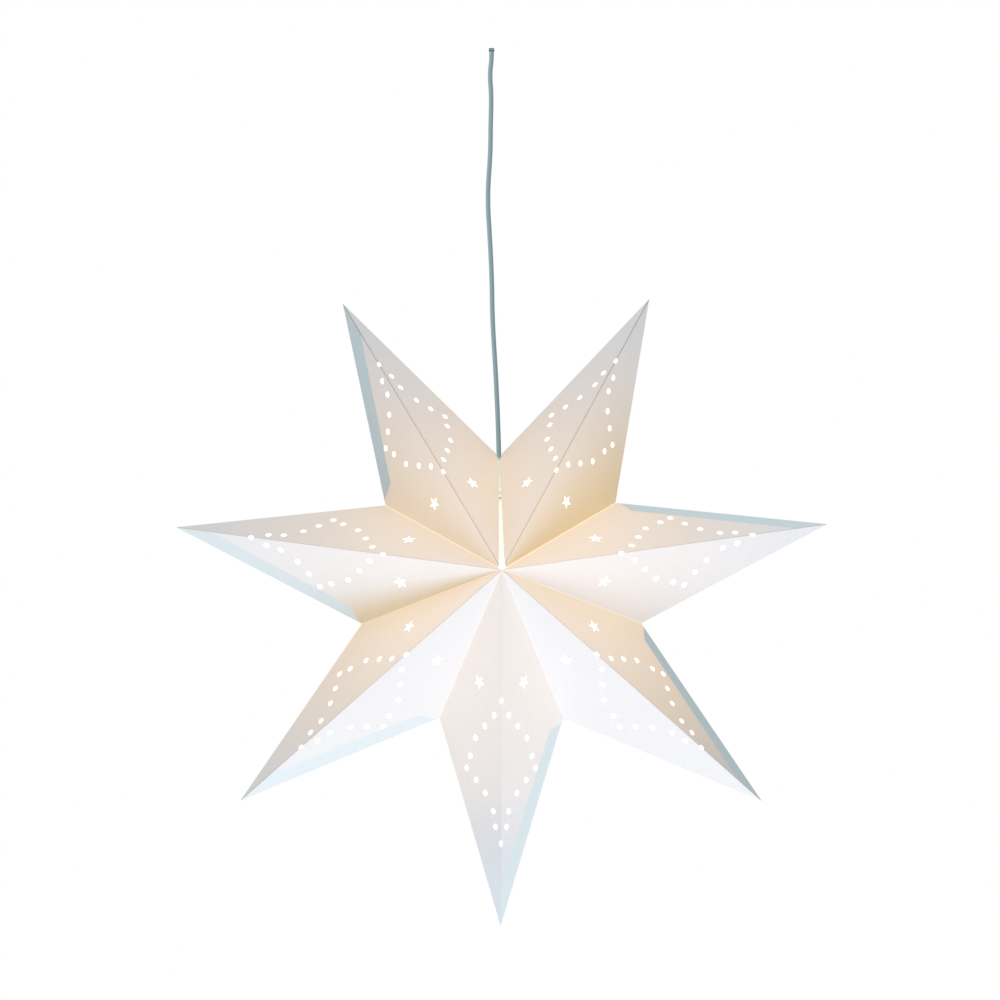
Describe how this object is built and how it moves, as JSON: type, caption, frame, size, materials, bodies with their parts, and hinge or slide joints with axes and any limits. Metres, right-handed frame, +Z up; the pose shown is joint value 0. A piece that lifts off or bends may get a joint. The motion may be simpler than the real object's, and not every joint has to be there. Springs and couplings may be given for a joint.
{
  "type": "star pendant light",
  "caption": "Pierced folded-card star pendant: hollow pointed arms round a screw lampholder and globe lamp, hung by its open top seam on a flex.",
  "frame": {"origin": "middle of the collar on the top end of the flex, from which the pendant hangs", "axes": "+Z up along the flex, front of the star towards -Y, +X to the right as seen from the front"},
  "size_m": [0.6025, 0.216, 0.8272],
  "materials": {
    "card": "matte white card, lit from inside",
    "bar_plastic": "matt moulded white",
    "flex_sheath": "satin grey-blue sheath",
    "collar_dark": "matt dark grey",
    "holder_plastic": "glossy white thermoset",
    "insert_ceramic": "unglazed ceramic",
    "brass": "plain stamped brass",
    "steel": "plain steel",
    "core_brown": "satin",
    "core_blue": "satin",
    "cap_metal": "rolled aluminium",
    "insulator_black": "black vitrite",
    "solder": "dull solder",
    "opal_glass": "opal, lit",
    "clear_glass": "clear",
    "filament_hot": "glowing"
  },
  "bodies": {
    "flex_and_holder": {"cord": "flex_sheath", "cord_end_collar": "collar_dark", "holder_cap": "holder_plastic", "cord_grip_screw": "holder_plastic", "holder_skirt": "holder_plastic", "holder_insert": "insert_ceramic", "terminal_live": "brass", "terminal_neutral": "brass", "terminal_screws": "steel", "core_live": "core_brown", "core_neutral": "core_blue", "screw_shell": "brass", "centre_contact": "brass"},
    "star": {"arm_1": "card", "arm_2": "card", "arm_3": "card", "arm_4": "card", "arm_5": "card", "arm_6": "card", "arm_7": "card", "hanger_bar": "bar_plastic"},
    "lamp": {"bulb_cap": "cap_metal", "bulb_insulator": "insulator_black", "bulb_contact": "solder", "bulb_globe": "opal_glass", "bulb_stem": "clear_glass", "bulb_leads": "steel", "filament": "filament_hot"}
  },
  "joints": [
    {"name": "star_swivel", "type": "hinge", "parent": "flex_and_holder", "child": "star", "pos_m": [0, 0, -0.432], "axis": [0, 0, 1], "continuous": true},
    {"name": "lamp_out", "type": "slide", "parent": "flex_and_holder", "child": "lamp", "axis": [0, 0, -1], "range_m": [0, 0.03]}
  ]
}
